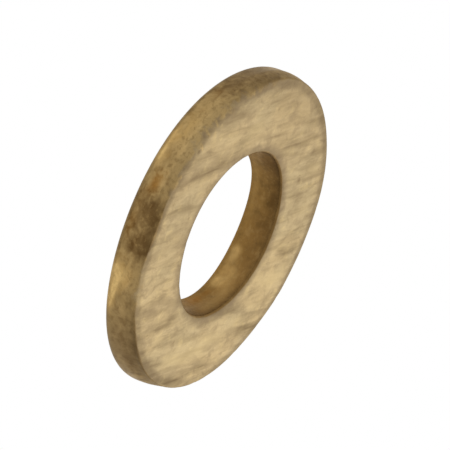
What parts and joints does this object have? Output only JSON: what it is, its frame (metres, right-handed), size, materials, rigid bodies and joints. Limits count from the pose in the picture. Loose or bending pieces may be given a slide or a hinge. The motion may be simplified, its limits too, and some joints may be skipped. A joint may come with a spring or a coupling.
{
  "type": "flat washer",
  "caption": "Plain flat ring blanked from brass strip, with a clearance bore and softly rounded edges; spreads the load under a bolt head or nut.",
  "frame": {"origin": "centre of the ring, on the bore axis, half way through the thickness", "axes": "+Z along the bore axis, out of the face where the bore's edge is rolled over and the rim's is not; X and Y lie in the plane of the ring and are interchangeable"},
  "size_m": [0.016, 0.016, 0.0018],
  "materials": {
    "brass": "rolled faces with a fine directional lay and light tarnish; darker sheared rim and bore"
  },
  "bodies": {
    "root": {"flat_washer": "brass"}
  },
  "joints": []
}
